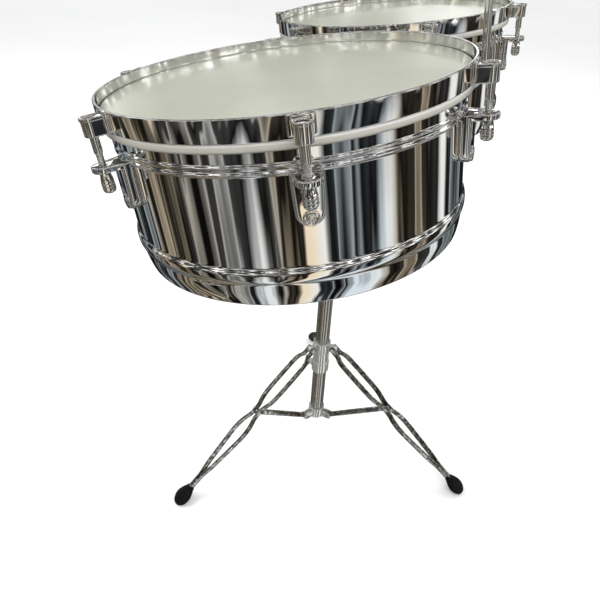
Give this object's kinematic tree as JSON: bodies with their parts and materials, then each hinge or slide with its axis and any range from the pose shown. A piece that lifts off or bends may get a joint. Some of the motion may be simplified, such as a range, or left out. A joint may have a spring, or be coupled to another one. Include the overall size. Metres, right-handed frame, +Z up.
{
  "type": "timbales on a tripod stand",
  "caption": "Pair of chromed shallow open-bottomed drums side by side on a height-adjustable tilting stand with a folding double-braced tripod and an upright accessory rod",
  "frame": {"origin": "on the floor, in the middle of the bounding box", "axes": "+Z up, +X from the small drum to the large one, -Y towards the player"},
  "size_m": [0.7634, 0.5168, 0.8978],
  "materials": {
    "chrome": "polished chrome plate",
    "film": "semi-gloss translucent drumhead film, crimped into an aluminium flesh hoop",
    "rubber": "matte black rubber"
  },
  "bodies": {
    "stand": {"base_tube": "chrome", "brace_hub": "chrome", "height_clamp": "chrome"},
    "height_post": {"height_tube": "chrome", "memory_lock": "chrome", "tilter_base": "chrome"},
    "crossbar": {"crossbar": "chrome"},
    "large_drum": {"large_drum_shell": "chrome", "large_drum_head": "film", "large_drum_counterhoop": "chrome", "large_drum_mount": "chrome", "large_drum_tension_rod_1": "chrome", "large_drum_tension_rod_2": "chrome", "large_drum_tension_rod_3": "chrome", "large_drum_tension_rod_4": "chrome", "large_drum_tension_rod_5": "chrome", "large_drum_tension_rod_6": "chrome"},
    "large_drum_tension_nut_1": {"large_drum_tension_nut_1": "chrome"},
    "large_drum_tension_nut_2": {"large_drum_tension_nut_2": "chrome"},
    "large_drum_tension_nut_3": {"large_drum_tension_nut_3": "chrome"},
    "large_drum_tension_nut_4": {"large_drum_tension_nut_4": "chrome"},
    "large_drum_tension_nut_5": {"large_drum_tension_nut_5": "chrome"},
    "large_drum_tension_nut_6": {"large_drum_tension_nut_6": "chrome"},
    "small_drum": {"small_drum_shell": "chrome", "small_drum_head": "film", "small_drum_counterhoop": "chrome", "small_drum_mount": "chrome", "small_drum_tension_rod_1": "chrome", "small_drum_tension_rod_2": "chrome", "small_drum_tension_rod_3": "chrome", "small_drum_tension_rod_4": "chrome", "small_drum_tension_rod_5": "chrome", "small_drum_tension_rod_6": "chrome"},
    "small_drum_tension_nut_1": {"small_drum_tension_nut_1": "chrome"},
    "small_drum_tension_nut_2": {"small_drum_tension_nut_2": "chrome"},
    "small_drum_tension_nut_3": {"small_drum_tension_nut_3": "chrome"},
    "small_drum_tension_nut_4": {"small_drum_tension_nut_4": "chrome"},
    "small_drum_tension_nut_5": {"small_drum_tension_nut_5": "chrome"},
    "small_drum_tension_nut_6": {"small_drum_tension_nut_6": "chrome"},
    "cowbell_rod": {"cowbell_rod": "chrome"},
    "large_drum_wing_bolt": {"large_drum_wing_bolt": "chrome"},
    "small_drum_wing_bolt": {"small_drum_wing_bolt": "chrome"},
    "cowbell_wing_bolt": {"cowbell_wing_bolt": "chrome"},
    "tilter_wing_bolt": {"tilter_wing_bolt": "chrome"},
    "height_wing_bolt": {"height_wing_bolt": "chrome"},
    "collar_wing_bolt": {"collar_wing_bolt": "chrome"},
    "collar": {"tripod_collar": "chrome"},
    "leg_1": {"leg_1": "chrome", "foot_1": "rubber"},
    "brace_1": {"brace_1": "chrome"},
    "leg_2": {"leg_2": "chrome", "foot_2": "rubber"},
    "brace_2": {"brace_2": "chrome"},
    "leg_3": {"leg_3": "chrome", "foot_3": "rubber"},
    "brace_3": {"brace_3": "chrome"}
  },
  "joints": [
    {"name": "height_slide", "type": "slide", "parent": "stand", "child": "height_post", "axis": [0, 0, 1], "range_m": [0, 0.2]},
    {"name": "tilter_hinge", "type": "hinge", "parent": "height_post", "child": "crossbar", "pos_m": [-0.01272, -0.05359, 0.64], "axis": [1, 0, 0], "range_deg": [-30, 25]},
    {"name": "large_drum_tilt", "type": "hinge", "parent": "crossbar", "child": "large_drum", "pos_m": [-0.01272, -0.0417, 0.7015], "axis": [1, 0, 0], "range_deg": [-15, 15]},
    {"name": "large_drum_tension_nut_1_turn", "type": "hinge", "parent": "large_drum", "child": "large_drum_tension_nut_1", "pos_m": [0.37127, 0.04684, 0.74136], "axis": [0, -0.165, 0.9863], "continuous": true},
    {"name": "large_drum_tension_nut_2_turn", "type": "hinge", "parent": "large_drum", "child": "large_drum_tension_nut_2", "pos_m": [0.20166, 0.15136, 0.75885], "axis": [0, -0.165, 0.9863], "continuous": true},
    {"name": "large_drum_tension_nut_3_turn", "type": "hinge", "parent": "large_drum", "child": "large_drum_tension_nut_3", "pos_m": [0.02507, 0.05876, 0.74335], "axis": [0, -0.165, 0.9863], "continuous": true},
    {"name": "large_drum_tension_nut_4_turn", "type": "hinge", "parent": "large_drum", "child": "large_drum_tension_nut_4", "pos_m": [0.01809, -0.13838, 0.71036], "axis": [0, -0.165, 0.9863], "continuous": true},
    {"name": "large_drum_tension_nut_5_turn", "type": "hinge", "parent": "large_drum", "child": "large_drum_tension_nut_5", "pos_m": [0.1877, -0.24291, 0.69287], "axis": [0, -0.165, 0.9863], "continuous": true},
    {"name": "large_drum_tension_nut_6_turn", "type": "hinge", "parent": "large_drum", "child": "large_drum_tension_nut_6", "pos_m": [0.36429, -0.1503, 0.70837], "axis": [0, -0.165, 0.9863], "continuous": true},
    {"name": "small_drum_tilt", "type": "hinge", "parent": "crossbar", "child": "small_drum", "pos_m": [-0.01272, -0.0417, 0.7015], "axis": [1, 0, 0], "range_deg": [-15, 15]},
    {"name": "small_drum_tension_nut_1_turn", "type": "hinge", "parent": "small_drum", "child": "small_drum_tension_nut_1", "pos_m": [-0.04604, 0.04933, 0.7384], "axis": [0, -0.1305, 0.9914], "continuous": true},
    {"name": "small_drum_tension_nut_2_turn", "type": "hinge", "parent": "small_drum", "child": "small_drum_tension_nut_2", "pos_m": [-0.20905, 0.14077, 0.75043], "axis": [0, -0.1305, 0.9914], "continuous": true},
    {"name": "small_drum_tension_nut_3_turn", "type": "hinge", "parent": "small_drum", "child": "small_drum_tension_nut_3", "pos_m": [-0.37044, 0.04652, 0.73803], "axis": [0, -0.1305, 0.9914], "continuous": true},
    {"name": "small_drum_tension_nut_4_turn", "type": "hinge", "parent": "small_drum", "child": "small_drum_tension_nut_4", "pos_m": [-0.3688, -0.13917, 0.71358], "axis": [0, -0.1305, 0.9914], "continuous": true},
    {"name": "small_drum_tension_nut_5_turn", "type": "hinge", "parent": "small_drum", "child": "small_drum_tension_nut_5", "pos_m": [-0.20579, -0.23061, 0.70154], "axis": [0, -0.1305, 0.9914], "continuous": true},
    {"name": "small_drum_tension_nut_6_turn", "type": "hinge", "parent": "small_drum", "child": "small_drum_tension_nut_6", "pos_m": [-0.0444, -0.13636, 0.71395], "axis": [0, -0.1305, 0.9914], "continuous": true},
    {"name": "cowbell_rod_swivel", "type": "hinge", "parent": "crossbar", "child": "cowbell_rod", "pos_m": [-0.01272, -0.0417, 0.7015], "axis": [0, 0.9863, 0.165], "range_deg": [-40, 40]},
    {"name": "large_drum_wing_bolt_turn", "type": "hinge", "parent": "crossbar", "child": "large_drum_wing_bolt", "pos_m": [-0.00172, -0.06142, 0.6982], "axis": [0, -0.9863, -0.165], "continuous": true},
    {"name": "small_drum_wing_bolt_turn", "type": "hinge", "parent": "crossbar", "child": "small_drum_wing_bolt", "pos_m": [-0.02372, -0.045, 0.72123], "axis": [0, -0.165, 0.9863], "continuous": true},
    {"name": "cowbell_wing_bolt_turn", "type": "hinge", "parent": "crossbar", "child": "cowbell_wing_bolt", "pos_m": [-0.01272, -0.02099, 0.71713], "axis": [0, -0.165, 0.9863], "continuous": true},
    {"name": "tilter_wing_bolt_turn", "type": "hinge", "parent": "crossbar", "child": "tilter_wing_bolt", "pos_m": [-0.01272, -0.05359, 0.64], "axis": [-1, 0, 0], "continuous": true},
    {"name": "height_wing_bolt_turn", "type": "hinge", "parent": "stand", "child": "height_wing_bolt", "pos_m": [-0.01272, -0.07359, 0.42], "axis": [0, -1, 0], "continuous": true},
    {"name": "collar_wing_bolt_turn", "type": "hinge", "parent": "collar", "child": "collar_wing_bolt", "pos_m": [-0.0134, -0.06658, 0.195], "axis": [-0.0523, -0.9986, 0], "continuous": true},
    {"name": "tripod_collar_slide", "type": "slide", "parent": "stand", "child": "collar", "axis": [0, 0, 1], "range_m": [0, 0.1114]},
    {"name": "leg_1_fold", "type": "hinge", "parent": "collar", "child": "leg_1", "pos_m": [-0.03505, -0.06239, 0.2429], "axis": [0.3665, -0.9304, 0], "range_deg": [0, 44.68]},
    {"name": "brace_1_fold", "type": "hinge", "parent": "stand", "child": "brace_1", "pos_m": [-0.03784, -0.06349, 0.07], "axis": [0.3665, -0.9304, 0], "range_deg": [-51.63, 0]},
    {"name": "leg_2_fold", "type": "hinge", "parent": "collar", "child": "leg_2", "pos_m": [0.00739, -0.0667, 0.2429], "axis": [0.5461, 0.8377, 0], "range_deg": [0, 44.68]},
    {"name": "brace_2_fold", "type": "hinge", "parent": "stand", "child": "brace_2", "pos_m": [0.0099, -0.06834, 0.07], "axis": [0.5461, 0.8377, 0], "range_deg": [-51.63, 0]},
    {"name": "leg_3_fold", "type": "hinge", "parent": "collar", "child": "leg_3", "pos_m": [-0.01142, -0.02963, 0.2429], "axis": [-0.9985, 0.0541, 0], "range_deg": [0, 44.68]},
    {"name": "brace_3_fold", "type": "hinge", "parent": "stand", "child": "brace_3", "pos_m": [-0.01126, -0.02663, 0.07], "axis": [-0.9985, 0.0541, 0], "range_deg": [-51.63, 0]}
  ],
  "couplings": [
    {"joint": "leg_1_fold", "follows": "tripod_collar_slide", "rad_per_m": 6.9996},
    {"joint": "brace_1_fold", "follows": "tripod_collar_slide", "rad_per_m": -8.0885},
    {"joint": "leg_2_fold", "follows": "tripod_collar_slide", "rad_per_m": 6.9996},
    {"joint": "brace_2_fold", "follows": "tripod_collar_slide", "rad_per_m": -8.0885},
    {"joint": "leg_3_fold", "follows": "tripod_collar_slide", "rad_per_m": 6.9996},
    {"joint": "brace_3_fold", "follows": "tripod_collar_slide", "rad_per_m": -8.0885}
  ]
}
